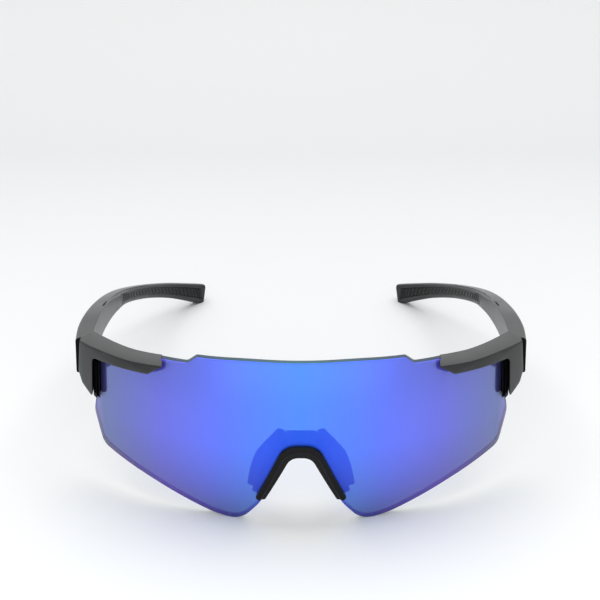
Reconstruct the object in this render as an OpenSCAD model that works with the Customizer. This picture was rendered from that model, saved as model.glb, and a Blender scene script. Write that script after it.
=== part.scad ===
// Wraparound sport sunglasses: a one-piece shield lens held at each end by a
// bracket and an inner retainer, two folding temples with gripped tips, and a
// nose bridge with a carrier and two soft pads. Everything is in millimetres.
// +X is the wearer's left, -Y the way the lens faces, +Z is up. The glasses
// stand on the lens's two lower lobes and on the temple tips.

/* [Lens] */
// Outer radius of the spherical lens
lens_radius = 88; // [87:0.5:89]
// Thickness of the lens
lens_thickness = 2.0; // [1.8:0.1:2.0]
// Height of the sphere's centre above the ground
lens_centre_z = 18; // [17:0.5:19]

/* [Brackets] */
// Build of a bracket in front of the lens
bracket_front = 3.0; // [2.4:0.1:3.2]
// Build of a bracket's top wall behind the lens
bracket_back = 1.0; // [0.8:0.1:1.2]
// Thickness of the inner retainer
retainer_thickness = 1.6; // [1.4:0.1:1.8]
// Slack on each face of the lens
lens_slack = 0.05; // [0.03:0.01:0.08]

/* [Hinges] */
// Sideways distance of a hinge from the middle
pivot_x = 64; // [63.8:0.1:64.2]
// Lean of the hinge axis towards the back
hinge_tilt = 12; // [11:0.5:13]
// Radius of the hinge ears
ear_radius = 2.6; // [2.4:0.1:2.7]
// Radius of the hinge screw's shank
hinge_screw_radius = 0.7; // [0.6:0.05:0.8]
// Radial clearance of the temple on the screw
running_clearance = 0.05; // [0.03:0.01:0.08]
// Gap between the bracket's and the temple's joint faces
joint_gap = 0.2; // [0.15:0.05:0.3]

/* [Temples] */
// Rings along each temple
arm_rings = 34; // [24:2:44]
// Ribs on each grip
rib_count = 22; // [14:1:26]

/* [Nose] */
// Build of the nose bridge in front of the lens
bridge_front = 1.3; // [1.0:0.1:1.5]
// Thickness of the bridge's wall along the arch
bridge_wall = 0.9; // [0.8:0.05:1.0]
// Thickness of the nose pads
pad_thickness = 2.2; // [2.0:0.1:2.4]
// Outward flare of the nose pads
pad_flare = 12; // [8:1:16]

/* [Hidden] */

// The origin is on the ground under the middle of the whole object: the front
// of the lens is this far ahead of it.
origin_back = 79.78;
sphere_fn = 160;
round_fn = 48;
big = 300;

pivot = [pivot_x, 42, 41];

// Spherical shells, from the inside out
lens_back_radius = lens_radius - lens_thickness;
slot_back_radius = lens_back_radius - lens_slack;
slot_front_radius = lens_radius + lens_slack;
bracket_front_radius = lens_radius + bracket_front;
bracket_back_radius = lens_back_radius - bracket_back;
retainer_back_radius = slot_back_radius - retainer_thickness;
wall_front_radius = lens_radius + 1.8;
bridge_front_radius = lens_radius + bridge_front;
bridge_back_radius = lens_back_radius - 2;

// Lens's cut-back edge, and the bracket's leg outside it
lens_side_x = 63.2;
leg_inner_x = 65.4;

// Room between a Boolean cutter and the faces that it shouldn't touch
cut_margin = 1;

// Outlines seen from the front: each corner is [x, z, radius of its round].
lens_half = [
    [16, 52.65, 150],
    [31.4, 51.6, 1.5],
    [34.2, 49.5, 2],
    [42.75, 48.8, 0.3],
    [42.95, 47.1, 0.3],
    [52, 45.8, 60],
    [lens_side_x, 44.7, 1.2],
    [lens_side_x, 29.2, 0.3],
    [64.5, 29.1, 0.3],
    [64.6, 27.5, 0.2],
    [65.2, 27.2, 0.3],
    [65.7, 24.0, 5],
    [63.0, 13.4, 3.5],
    [46, 8.0, 90],
    [27.5, 1.0, 14],
    [22.5, 0, 3],
    [18.4, 0, 7],
    [12.6, 7.2, 22],
    [4.05, 25.4, 4.4]
];
bracket_outline = [
    [42.9, 48.35, 0.3],
    [52, 47.0, 70],
    [62, 46.1, 40],
    [70.3, 44.9, 0.6],
    [70.6, 35.8, 0.6],
    [69.4, 33.0, 1.5],
    [65.6, 30.4, 0.5],
    [leg_inner_x, 42.6, 1.6],
    [57.2, 43.6, 80],
    [46.6, 44.9, 0.8]
];
retainer_outline = [
    [41.4, 47.2, 0.7],
    [52, 45.6, 60],
    [63, 44.6, 1],
    [leg_inner_x, 44.3, 0.3],
    [leg_inner_x, 34.3, 0],
    [68.0, 34.3, 0.5],
    [68.0, 32.5, 0.8],
    [leg_inner_x, 30.3, 0.6],
    [63.2, 29.5, 1.0],
    [61.6, 30.2, 1.0],
    [61.6, 42.0, 1.5],
    [52, 42.6, 60],
    [44.8, 43.2, 1.2],
    [41.2, 45.2, 1.3]
];
// What is cut out of the bracket from behind: the lens's corner and the
// retainer fill it.
pocket_outline = [
    [40, 47.25, 0],
    [42.5, 47.25, 0],
    [52, 45.9, 60],
    [63.2, 44.9, 1],
    [leg_inner_x, 44.4, 0.3],
    [leg_inner_x, 25, 0],
    [40, 25, 0]
];
tab_outline = [
    [leg_inner_x - 1, 34.35, 0],
    [68.05, 34.35, 0.5],
    [68.05, 32.45, 0.8],
    [leg_inner_x - 1, 29.5, 0]
];
// Outer half line of the nose bridge, from its foot to its top corner
bridge_outer_half = [
    [12.9, 8.7, 0.8],
    [13.9, 9.9, 0.8],
    [5.3, 28.3, 6]
];
// The arch's own corners: foot and crown
arch_foot = [10.9, 9.2, 0.5];
arch_crown = [3.1, 24.4, 3.9];
wall_foot_x = 12.7;

// Stations of a temple, in the frame of its own hinge: outward offset of the
// outer face, distance back, height of the top edge, thickness and height.
arm_stations = [
    [7.4, -7.0, 3.0, 5.2, 11.4],
    [8.7, 8, 4.0, 5.7, 10.9],
    [8.5, 22, 4.8, 5.5, 8.9],
    [7.7, 38, 4.4, 5.2, 7.5],
    [6.2, 55, 3.2, 4.9, 6.2],
    [3.5, 73, 0.9, 4.1, 5.3],
    [-2.5, 91, -1.9, 3.6, 5.2],
    [-10.4, 107, -5.0, 3.2, 6.5],
    [-19.2, 119, -8.0, 3.0, 8.6],
    [-23.6, 124, -9.4, 3.0, 8.3]
];
last_station = len(arm_stations) - 1;
tip_start = 6.0;
core_end = last_station - 0.5;
grip_start = 4.35;
grip_end = last_station - 0.35;
grip_depth = 1.0;
grip_proud = 0.15;
// Gap round the grip in its pocket, and at its ends in stations
grip_slack = 0.06;
grip_end_gap = 0.005;
rib_height = 0.35;
// Lean of the ribs: stations back for each millimetre down
rib_lean = 0.025;
tip_wall = 0.8;

// Hinge heights along the screw, from the pivot point
ear_low = [-7.1, -5.0];
ear_high = [-1.4, 1.0];
tongue = [-4.94, -1.46];
insert_height = 1.7;
insert_radius = 1.3;
head_radius = 1.4;
head_height = 0.6;
thread_slack = 0.02;

// The joint between bracket and temple is a plane along the hinge axis, at
// this distance from it, facing back and out.
joint_distance = 1.02;
joint_angle = 51.2;

// Retainer screw, driven forwards
retainer_screw_at = [66.6, 32.8];
retainer_screw_radius = 0.5;
retainer_screw_length = 6;
retainer_head_radius = 0.95;
retainer_head_height = 0.7;
retainer_seat_y = 37.2;
slot_width = 0.3;
slot_depth = 0.3;

// Shelf of the carrier, which spans the two pads
shelf_corner = [-4.75, 2, 26.7];
shelf_depth = 8.4;
shelf_thickness = 1.5;

// A nose pad's own plane starts here and runs down the bridge's leg.
pad_top = [5.0, 2.6, 28.0];
pad_lean = 26;

// ---- Outline helpers ----

function unit(v) = v / norm(v);
function flat(p) = [p[0], p[1]];

// Points of the round at corner b, between its neighbours a and c
function round_corner(a, b, c, radius, steps) =
    let (
        u = unit(a - b),
        v = unit(c - b),
        half = acos(u * v) / 2,
        start = b + u * radius / tan(half),
        stop = b + v * radius / tan(half),
        centre = b + unit(u + v) * radius / sin(half),
        from = atan2(start[1] - centre[1], start[0] - centre[0]),
        swing = atan2(stop[1] - centre[1], stop[0] - centre[0]) - from,
        turn = swing > 180 ? swing - 360 : swing < -180 ? swing + 360 : swing
    )
    [for (i = [0:steps])
        centre + radius * [cos(from + turn * i / steps), sin(from + turn * i / steps)]];

function rounded(corners, steps = 6) =
    let (n = len(corners))
    [for (i = [0:n - 1])
        each corners[i][2] == 0
            ? [flat(corners[i])]
            : round_corner(flat(corners[(i + n - 1) % n]), flat(corners[i]),
                           flat(corners[(i + 1) % n]), corners[i][2], steps)];

function mirrored(corners) =
    [for (i = [len(corners) - 1:-1:0]) [-corners[i][0], corners[i][1], corners[i][2]]];

function both_halves(corners) = concat(corners, mirrored(corners));

// ---- Placing helpers ----

module placed() {
    translate([0, -origin_back, 0])
        children();
}

// The left side is modelled, and the right side is its mirror image.
module side(right) {
    mirror([right ? 1 : 0, 0, 0])
        children();
}

module at_hinge() {
    translate(pivot)
        rotate([-hinge_tilt, 0, 0])
            children();
}

// A front view outline, as a prism along Y
module prism(points) {
    rotate([90, 0, 0])
        translate([0, 0, -big / 2])
            linear_extrude(big)
                polygon(points);
}

module lens_sphere(radius) {
    translate([0, lens_radius, lens_centre_z])
        sphere(radius, $fn = sphere_fn);
}

// Everything on the front side that lies outside a sphere
module outside_sphere(radius) {
    difference() {
        translate([-big / 3, -big / 3, -big / 3])
            cube([big / 1.5, big / 3 + lens_radius - 20, big / 1.5]);
        lens_sphere(radius);
    }
}

// The part of a prism between two spheres about the lens's centre, front half
module shell_part(points, inner, outer) {
    intersection() {
        difference() {
            lens_sphere(outer);
            lens_sphere(inner);
        }
        prism(points);
        translate([-big / 2, -big + lens_radius - 20, -big / 2])
            cube(big);
    }
}

// Everything behind the joint plane, from a margin beyond it
module behind_joint(margin) {
    at_hinge()
        rotate([0, 0, joint_angle])
            translate([joint_distance + margin, -big / 2, -big / 2])
                cube(big);
}

// A disc about the hinge axis between two heights
module hinge_disc(radius, heights) {
    translate([0, 0, heights[0]])
        cylinder(r = radius, h = heights[1] - heights[0], $fn = round_fn);
}

module hinge_slab(points, heights) {
    translate([0, 0, heights[0]])
        linear_extrude(heights[1] - heights[0])
            polygon(points);
}

// ---- Temple helpers ----

// Smooth value between the stations, by a cubic through them
function blend_at(k, s) =
    let (
        i = min(floor(s), last_station - 1),
        t = s - i,
        a = arm_stations[max(i - 1, 0)][k],
        b = arm_stations[i][k],
        c = arm_stations[i + 1][k],
        d = arm_stations[min(i + 2, last_station)][k]
    )
    b + 0.5 * t * (c - a + t * (2 * a - 5 * b + 4 * c - d + t * (3 * (b - c) + d - a)));

function arm_point(s) = [blend_at(0, s), blend_at(1, s), blend_at(2, s)];
function arm_thickness(s) = blend_at(3, s);
function arm_height(s) = blend_at(4, s);

function arm_heading(s) =
    let (
        ahead = arm_point(min(s + 0.05, last_station)),
        behind = arm_point(max(s - 0.05, 0))
    )
    unit([ahead[0] - behind[0], ahead[1] - behind[1]]);

// Towards the wearer's head, at right angles to the temple
function arm_inward(s) = [-arm_heading(s)[1], arm_heading(s)[0], 0];

// Upper inner corner: a crisp crease that softens towards the back
function crease_round(s) = s < 2.8 ? 0.3 : min(0.3 + 0.9 * (s - 2.8), 1.2);

// Towards the end the rings lean, so that the tip is cut off square.
function end_lean(s) = 0.045 * max(s - 7, 0);

// Ring of a box section: in from the outer face, and down from the top edge
function ring(s, in_a, in_b, down_a, down_b, r_top, r_low) =
    let (
        section = rounded([
            [in_a, down_a, r_low],
            [in_b, down_a, r_top],
            [in_b, down_b, r_low],
            [in_a, down_b, r_low]
        ], 2)
    )
    [for (p = section)
        let (leaning = s - end_lean(s) * p[1])
        arm_point(leaning) + arm_inward(leaning) * p[0] - [0, 0, p[1]]];

// Closed tube through a list of rings that have the same number of points
module tube(rings) {
    n = len(rings[0]);
    last = len(rings) - 1;
    polyhedron(
        points = [for (r = rings) each r],
        faces = concat(
            [[for (i = [n - 1:-1:0]) i]],
            [for (j = [0:last - 1], i = [0:n - 1])
                each let (
                    a = j * n + i,
                    b = j * n + (i + 1) % n
                )
                [[a, b + n, a + n], [a, b, b + n]]],
            [[for (i = [0:n - 1]) last * n + i]]
        ),
        convexity = 6
    );
}

function spread(from, to, count) = [for (i = [0:count]) from + (to - from) * i / count];

function arm_ring(s, inset) =
    ring(s, inset, arm_thickness(s) - inset, inset, arm_height(s) - inset,
         crease_round(s), 0.8);

module arm_solid(from, to, rings) {
    tube([for (s = spread(from, to, rings)) arm_ring(s, 0)]);
}

// The soft tip's outside, with a rounded end
module tip_solid() {
    tube(concat(
        [for (s = spread(tip_start, last_station - 0.16, 14)) arm_ring(s, 0)],
        [arm_ring(last_station - 0.05, 0.25), arm_ring(last_station, 0.6)]
    ));
}

// Core of the temple inside the soft tip
module arm_core() {
    tube([for (s = spread(tip_start - 0.1, core_end, 12))
        ring(s, tip_wall, arm_thickness(s) - grip_depth - 0.35, 1.3, arm_height(s) - 1.3, 0.25, 0.25)]);
}

function grip_down_a(s) = 0.6 + 0.25 * (s - grip_start);
function grip_down_b(s) = arm_height(s) - 0.95 - 0.22 * (s - grip_start);

// Ring of the grip at station s, leaning with its ribs
function grip_ring(s, proud, slack) =
    let (
        middle = (grip_down_a(s) + grip_down_b(s)) / 2,
        inner = arm_thickness(s) - grip_depth + slack,
        outer = arm_thickness(s) + proud,
        high = grip_down_a(s) + slack,
        low = grip_down_b(s) - slack,
        section = rounded([[inner, high, 0.2], [outer, high, 0.2], [outer, low, 0.2], [inner, low, 0.2]], 1)
    )
    [for (p = section)
        let (leaning = s + rib_lean * (p[1] - middle))
        arm_point(leaning) + arm_inward(leaning) * p[0] - [0, 0, p[1]]];

module grip_pocket() {
    tube([for (s = spread(grip_start, grip_end, 24)) grip_ring(s, 2, 0)]);
}

// ---- Sub-parts ----

module lens() {
    color("royalblue", 0.6)
        shell_part(rounded(both_halves(lens_half)), lens_back_radius, lens_radius);
}

// Retainer without its screw hole: a flange behind the lens, and an upright
// wall beside the lens's cut-back edge
module retainer_solid() {
    wall = [
        [lens_side_x + 0.1, 41.4],
        [lens_side_x + 0.1, 29.9],
        [leg_inner_x - 0.05, 30.6],
        [leg_inner_x - 0.05, 41.4]
    ];
    difference() {
        union() {
            shell_part(rounded(retainer_outline), retainer_back_radius, slot_back_radius);
            shell_part(wall, retainer_back_radius + 0.5, wall_front_radius);
        }
        behind_joint(-joint_gap);
        // Room for the bracket's ears
        at_hinge()
            hinge_disc(ear_radius + 0.5, [ear_low[0] - 0.4, ear_high[1] + 0.4]);
    }
}

module retainer_screw_axis(y) {
    translate([retainer_screw_at[0], y, retainer_screw_at[1]])
        rotate([90, 0, 0])
            children();
}

module bracket_shell() {
    difference() {
        shell_part(rounded(bracket_outline), bracket_back_radius, bracket_front_radius);
        // Pocket from behind for the lens and the retainer
        intersection() {
            prism(rounded(pocket_outline));
            lens_sphere(slot_front_radius);
        }
        // Seat of the retainer's tab behind the leg
        intersection() {
            prism(rounded(tab_outline));
            lens_sphere(slot_back_radius + 0.02);
        }
        behind_joint(-joint_gap / 2);
    }
}

module hinge_ears() {
    web = [
        [-2.4, -1.0],
        [0, -2.6],
        [1.5, -2.6],
        [1.5, -6.0],
        [3.6, -6.0],
        [3.6, -1.8],
        [0.58, 0.7]
    ];
    at_hinge()
        for (heights = [ear_low, ear_high]) {
            hinge_disc(ear_radius, heights);
            hinge_slab(web, heights);
        }
}

module bracket() {
    color("dimgray")
        difference() {
            union() {
                difference() {
                    bracket_shell();
                    at_hinge()
                        hinge_disc(ear_radius + 0.3, [ear_low[1], ear_high[0]]);
                }
                hinge_ears();
            }
            // Clear bore through both ears, the screw head's seat and the
            // pocket of the threaded insert
            at_hinge() {
                hinge_disc(hinge_screw_radius + running_clearance,
                           [ear_low[0] - cut_margin, ear_high[1] + cut_margin]);
                hinge_disc(head_radius + 0.05, [ear_high[1] - head_height, ear_high[1] + cut_margin]);
                hinge_disc(insert_radius, [ear_low[0] - cut_margin, ear_low[0] + insert_height]);
            }
            retainer_screw_axis(retainer_seat_y)
                cylinder(r = retainer_screw_radius + thread_slack,
                         h = retainer_screw_length + 0.5, $fn = round_fn);
            retainer_screw_axis(big / 4)
                cylinder(r = retainer_head_radius + 0.15, h = big / 4 - retainer_seat_y, $fn = round_fn);
        }
}

module lens_retainer() {
    color([0.08, 0.08, 0.09])
        difference() {
            retainer_solid();
            retainer_screw_axis(big / 4)
                cylinder(r = retainer_screw_radius + 0.05, h = big / 2, $fn = round_fn);
            retainer_screw_axis(big / 4)
                cylinder(r = retainer_head_radius + 0.1, h = big / 4 - retainer_seat_y, $fn = round_fn);
        }
}

module retainer_screw() {
    color("silver")
        difference() {
            union() {
                retainer_screw_axis(retainer_seat_y)
                    cylinder(r = retainer_screw_radius, h = retainer_screw_length, $fn = round_fn);
                retainer_screw_axis(retainer_seat_y + retainer_head_height)
                    cylinder(r = retainer_head_radius, h = retainer_head_height, $fn = round_fn);
            }
            retainer_screw_axis(retainer_seat_y + retainer_head_height)
                translate([-0.6, -slot_width / 2, -0.1])
                    cube([1.2, slot_width, slot_depth + 0.1]);
        }
}

module hinge_screw() {
    color("silver")
        at_hinge()
            difference() {
                union() {
                    hinge_disc(hinge_screw_radius, [ear_low[0] + 0.2, ear_high[1] - 0.3]);
                    hinge_disc(head_radius, [ear_high[1] - head_height, ear_high[1] - 0.05]);
                }
                translate([-1, -slot_width / 2, ear_high[1] - 0.05 - slot_depth])
                    cube([2, slot_width, 1]);
            }
}

module hinge_insert() {
    color("gold")
        at_hinge()
            difference() {
                hinge_disc(insert_radius, [ear_low[0], ear_low[0] + insert_height]);
                hinge_disc(hinge_screw_radius + thread_slack, [ear_low[0] - cut_margin, ear_low[1]]);
            }
}

module temple() {
    web = [
        [0, 0],
        [0.7, 0.87],
        [3.4, -1.3],
        [3.4, 4.6],
        [0, ear_radius - 0.15]
    ];
    color("dimgray")
        difference() {
            union() {
                difference() {
                    intersection() {
                        at_hinge()
                            arm_solid(0, tip_start, arm_rings);
                        behind_joint(joint_gap / 2);
                    }
                    // Room for the bracket's ears
                    at_hinge() {
                        hinge_disc(ear_radius + 0.3, [ear_low[0] - 3, tongue[0]]);
                        hinge_disc(ear_radius + 0.3, [tongue[1], ear_high[1] + 0.3]);
                    }
                }
                at_hinge() {
                    arm_core();
                    hinge_disc(ear_radius - 0.15, tongue);
                    hinge_slab(web, tongue);
                }
            }
            at_hinge() {
                hinge_disc(hinge_screw_radius + running_clearance,
                           [ear_low[0] - cut_margin, ear_high[1] + cut_margin]);
                grip_pocket();
            }
        }
}

module temple_tip() {
    color([0.13, 0.13, 0.14])
        intersection() {
            at_hinge()
                difference() {
                    tip_solid();
                    arm_core();
                    grip_pocket();
                }
            // The tip's underside is flat where it rests on the ground.
            translate([-big, -big, 0])
                cube(2 * big);
        }
}

// Each rib is four rings: up, along its top, down and along the valley.
module temple_grip() {
    pitch = (grip_end - grip_start) / (rib_count + 0.5);
    color([0.1, 0.1, 0.1])
        at_hinge()
            tube(concat(
                [grip_ring(grip_start + grip_end_gap, grip_proud, grip_slack)],
                [for (i = [0:rib_count - 1], k = [0:3])
                    grip_ring(grip_start + pitch * (i + 0.35 + 0.2 * k),
                              grip_proud + (k == 1 || k == 2 ? rib_height : 0), grip_slack)],
                [grip_ring(grip_end - grip_end_gap, grip_proud, grip_slack)]
            ));
}

// Closed U between an outer half line and the arch, set out by an offset
function u_outline(offset) =
    let (
        foot = arch_foot + offset * [1, 0.3, -0.5],
        crown = arch_crown + offset * [0.8, 1, 1]
    )
    rounded(concat([foot], bridge_outer_half, mirrored(concat([crown, foot], bridge_outer_half)), [crown]));

// Everything above the arch that lies further out than the bridge's wall
function beyond_wall() =
    let (
        crown = arch_crown + bridge_wall * [0.8, 1, 1],
        foot = [wall_foot_x + bridge_wall, 5, 0]
    )
    rounded(both_halves([crown, foot, [30, 5, 0], [30, 40, 0]]));

module nose_bridge() {
    color([0.05, 0.05, 0.06])
        difference() {
            shell_part(u_outline(0), bridge_back_radius, bridge_front_radius);
            intersection() {
                prism(beyond_wall());
                lens_sphere(slot_front_radius);
            }
        }
}

// Frame of a pad's plane: X out of the pad, Y back, Z up the bridge's leg
module pad_frame() {
    translate(pad_top)
        rotate([0, -pad_lean, 0])
            rotate([0, 0, -pad_flare])
                children();
}

// Outline in a pad's plane, [back, down, round], made a slab of this thickness
module pad_slab(corners, inner, outer) {
    pad_frame()
        translate([inner, 0, 0])
            rotate([90, 0, 90])
                linear_extrude(outer - inner)
                    polygon([for (p = rounded(corners)) [p[0], -p[1]]]);
}

wing = [
    [-0.4, 4, 0.3],
    [5.5, 3.5, 1.5],
    [8.5, 8, 2.5],
    [9.5, 13, 2],
    [6.0, 17, 1.5],
    [-0.4, 16.5, 0.3]
];
pad = [
    [1.2, -0.4, 1.0],
    [6.8, -1.0, 1.6],
    [10.3, 6.6, 12],
    [12.7, 12.8, 3.5],
    [11.6, 17.4, 8],
    [6.9, 21.9, 0.7],
    [2.3, 18.9, 0.4],
    [1.9, 20.3, 0.6],
    [0.9, 20.0, 0.4]
];
wing_half = 0.45;

module carrier_shelf() {
    translate(shelf_corner)
        cube([-2 * shelf_corner[0], shelf_depth, shelf_thickness]);
}

module nose_carrier() {
    color([0.16, 0.16, 0.17])
        difference() {
            union() {
                shell_part(u_outline(bridge_wall + 0.05), bridge_back_radius, lens_back_radius + 0.5);
                carrier_shelf();
                for (right = [false, true])
                    side(right)
                        pad_slab(wing, -wing_half, wing_half);
            }
            outside_sphere(slot_back_radius);
        }
}

module nose_pad() {
    color([0.2, 0.2, 0.22])
        difference() {
            pad_slab(pad, -pad_thickness / 2, pad_thickness / 2);
            pad_slab(wing, -wing_half, wing_half);
            outside_sphere(bridge_back_radius - 0.1);
            carrier_shelf();
        }
}

// ---- Nodes ----

placed() lens();
placed() side(false) bracket();  // bracket_left
placed() side(true) bracket();  // bracket_right
placed() side(false) lens_retainer();  // lens_retainer_left
placed() side(true) lens_retainer();  // lens_retainer_right
placed() side(false) retainer_screw();  // retainer_screw_left
placed() side(true) retainer_screw();  // retainer_screw_right
placed() side(false) hinge_screw();  // hinge_screw_left
placed() side(true) hinge_screw();  // hinge_screw_right
placed() side(false) hinge_insert();  // hinge_insert_left
placed() side(true) hinge_insert();  // hinge_insert_right
placed() side(false) temple();  // temple_left
placed() side(true) temple();  // temple_right
placed() side(false) temple_tip();  // temple_tip_left
placed() side(true) temple_tip();  // temple_tip_right
placed() side(false) temple_grip();  // temple_grip_left
placed() side(true) temple_grip();  // temple_grip_right
placed() nose_bridge();
placed() nose_carrier();
placed() side(false) nose_pad();  // nose_pad_left
placed() side(true) nose_pad();  // nose_pad_right
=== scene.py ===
# %% [markdown]
# # Wraparound sport sunglasses
# The glasses are a one-piece shield lens, a bracket and a retainer at each end
# of it, two folding temples with gripped tips, and a nose bridge with pads.
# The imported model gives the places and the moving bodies. This lesson rebuilds
# each visible piece with finer curves, rounded edges and its own finish.

from math import acos, atan2, ceil, cos, pi, radians, sin, sqrt, tan

import bmesh
import bpy
from mathutils import Matrix, Vector


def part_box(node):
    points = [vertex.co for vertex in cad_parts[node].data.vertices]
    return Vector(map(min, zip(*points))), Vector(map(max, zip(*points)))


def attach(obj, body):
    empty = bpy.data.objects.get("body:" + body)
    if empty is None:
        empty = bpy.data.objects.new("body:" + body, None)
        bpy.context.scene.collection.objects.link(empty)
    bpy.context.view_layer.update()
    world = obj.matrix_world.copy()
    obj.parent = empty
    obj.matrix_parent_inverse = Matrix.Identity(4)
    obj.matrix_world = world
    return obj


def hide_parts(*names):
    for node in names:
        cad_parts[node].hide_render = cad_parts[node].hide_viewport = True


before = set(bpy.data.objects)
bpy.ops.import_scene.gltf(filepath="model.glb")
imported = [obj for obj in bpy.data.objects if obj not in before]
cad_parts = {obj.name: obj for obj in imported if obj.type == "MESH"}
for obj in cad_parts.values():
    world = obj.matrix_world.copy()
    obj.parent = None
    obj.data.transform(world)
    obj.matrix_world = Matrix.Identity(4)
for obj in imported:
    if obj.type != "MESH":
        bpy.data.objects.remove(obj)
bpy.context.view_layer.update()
MM = 0.001
scene = bpy.context.scene

# %% [markdown]
# ## Camera
# Product shots of eyewear are taken from a little above, with a long lens so
# that the wrap of the frame isn't exaggerated. The camera stands half a metre
# in front of the glasses and looks down by 26 degrees.

# %% Camera
CAMERA_PLACE = Vector((-0.3, -444.8, 255.3)) * MM
CAMERA_PITCH = radians(26)
CAMERA_LENS = 85.9

camera_data = bpy.data.cameras.new("camera")
camera_data.lens = CAMERA_LENS
camera_data.clip_start = 0.01
camera = bpy.data.objects.new("camera", camera_data)
camera.location = CAMERA_PLACE
camera.rotation_euler = (pi / 2 - CAMERA_PITCH, 0, 0)
scene.collection.objects.link(camera)
scene.camera = camera
print("camera at", tuple(round(c, 3) for c in camera.location))

# %% [markdown]
# ## Studio
# A pale sweep of paper rises behind the glasses, so there is no horizon line.
# One large soft light hangs above, a fill stands in front and a strip behind,
# which the upper faces mirror. A white surround fills the shadows. Soft light
# from all round is what gives a mirrored lens its even colour.

# %% Studio floor and lights
FLOOR_HALF_WIDTH = 1.6
FLOOR_FRONT = -1.2
FLOOR_BEND = 0.55
FLOOR_BEND_RADIUS = 0.5
FLOOR_BEND_STEPS = 12
FLOOR_TOP = 1.6
PAPER_SHADE_FROM = -0.3
PAPER_SHADE_TO = 0.7
SURROUND_COLOUR = (0.97, 0.985, 1.0, 1)
SURROUND_STRENGTH = 0.58


def link_mesh(bm, name):
    mesh = bpy.data.meshes.new(name)
    bm.to_mesh(mesh)
    bm.free()
    obj = bpy.data.objects.new(name, mesh)
    scene.collection.objects.link(obj)
    return obj


def make_sweep():
    bm = bmesh.new()
    profile = [(FLOOR_FRONT, 0)]
    for i in range(FLOOR_BEND_STEPS + 1):
        turn = pi / 2 * i / FLOOR_BEND_STEPS
        profile.append((FLOOR_BEND + FLOOR_BEND_RADIUS * sin(turn), FLOOR_BEND_RADIUS * (1 - cos(turn))))
    profile.append((FLOOR_BEND + FLOOR_BEND_RADIUS, FLOOR_TOP))
    verts = [bm.verts.new((-FLOOR_HALF_WIDTH, y, z)) for y, z in profile]
    edges = [bm.edges.new(pair) for pair in zip(verts, verts[1:])]
    made = bmesh.ops.extrude_edge_only(bm, edges=edges)
    moved = [g for g in made["geom"] if isinstance(g, bmesh.types.BMVert)]
    bmesh.ops.translate(bm, verts=moved, vec=(2 * FLOOR_HALF_WIDTH, 0, 0))
    bmesh.ops.recalc_face_normals(bm, faces=bm.faces)
    for face in bm.faces:
        face.smooth = True
    return link_mesh(bm, "paper_sweep")


def new_material(name):
    """A new material, with its nodes, its links and its shader."""
    material = bpy.data.materials.new(name)
    material.use_nodes = True
    tree = material.node_tree
    return material, tree.nodes, tree.links, tree.nodes["Principled BSDF"]


def object_axes(nodes, links):
    """The Object coordinates, axis by axis."""
    where = nodes.new("ShaderNodeTexCoord")
    split = nodes.new("ShaderNodeSeparateXYZ")
    links.new(where.outputs["Object"], split.inputs[0])
    return split.outputs


def ramp_node(nodes, stops):
    node = nodes.new("ShaderNodeValToRGB")
    ramp = node.color_ramp
    while len(ramp.elements) < len(stops):
        ramp.elements.new(0.5)
    for element, (place, colour) in zip(ramp.elements, stops):
        element.position = place
        element.color = (*colour, 1)
    return node


def paper_with_painted_shade():
    """Paper painted near white in front and a touch darker behind the glasses: painted shade for the fall
    of the light.
    """
    material, nodes, links, shader = new_material("paper")
    share = nodes.new("ShaderNodeMapRange")
    share.inputs["From Min"].default_value = PAPER_SHADE_FROM
    share.inputs["From Max"].default_value = PAPER_SHADE_TO
    links.new(object_axes(nodes, links)["Y"], share.inputs["Value"])
    # Painted shade: light paper in front, greyer from behind the glasses back.
    shade = ramp_node(nodes, [
        (0.12, (0.96, 0.97, 0.96)), (0.55, (0.645, 0.65, 0.655)), (0.8, (0.66, 0.665, 0.665)),
    ])
    links.new(share.outputs["Result"], shade.inputs["Fac"])
    links.new(shade.outputs["Color"], shader.inputs["Base Color"])
    shader.inputs["Roughness"].default_value = 0.9
    return material


paper_sweep = make_sweep()
paper_sweep.data.materials.append(paper_with_painted_shade())


def area_light(name, place, target, size, watts):
    data = bpy.data.lights.new(name, "AREA")
    data.shape = "RECTANGLE"
    data.size, data.size_y = size
    data.energy = watts
    light = bpy.data.objects.new(name, data)
    light.location = place
    light.rotation_euler = (Vector(target) - Vector(place)).to_track_quat("-Z", "Y").to_euler()
    scene.collection.objects.link(light)
    return light


area_light("overhead_softbox", (0, 0.3, 0.95), target=(0, -0.05, 0), size=(1.5, 0.9), watts=8.2)
area_light("front_fill", (0, -1.2, 0.45), target=(0, 0, 0.02), size=(1.8, 0.7), watts=5.0)
area_light("back_strip", (0, 0.92, 0.55), target=(0, 0, 0.04), size=(1.8, 0.45), watts=2.0)

world = bpy.data.worlds.new("white_surround")
world.use_nodes = True
background = world.node_tree.nodes["Background"]
background.inputs["Color"].default_value = SURROUND_COLOUR
background.inputs["Strength"].default_value = SURROUND_STRENGTH
scene.world = world
scene.view_settings.view_transform = "Standard"
print("studio: sweep, 3 lights, white surround")

# %% [markdown]
# ## Shared finish effects
# Moulded plastic is never one flat value: it has a fine grain from the mould,
# and its gloss drifts a little. Both effects are a node group, so each
# material places it with its own scale and strength. Its pattern reads Object
# coordinates, which stay with the piece.

# %% Node group for moulded grain
GRAIN_DETAIL = 3
CLOUD_SCALE = 70
CLOUD_DETAIL = 4
CLOUD_DEPTH = 0.5


def new_group(name, inputs, outputs):
    group = bpy.data.node_groups.new(name, "ShaderNodeTree")
    for label, kind, default in inputs:
        socket = group.interface.new_socket(name=label, in_out="INPUT", socket_type=kind)
        socket.default_value = default
    for label, kind in outputs:
        group.interface.new_socket(name=label, in_out="OUTPUT", socket_type=kind)
    start = group.nodes.new("NodeGroupInput")
    end = group.nodes.new("NodeGroupOutput")
    return group, start, end


def feed(links, socket, value):
    """Sets a socket to a plain number, or links an output to it."""
    if isinstance(value, (int, float)):
        socket.default_value = value
    else:
        links.new(value, socket)


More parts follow.
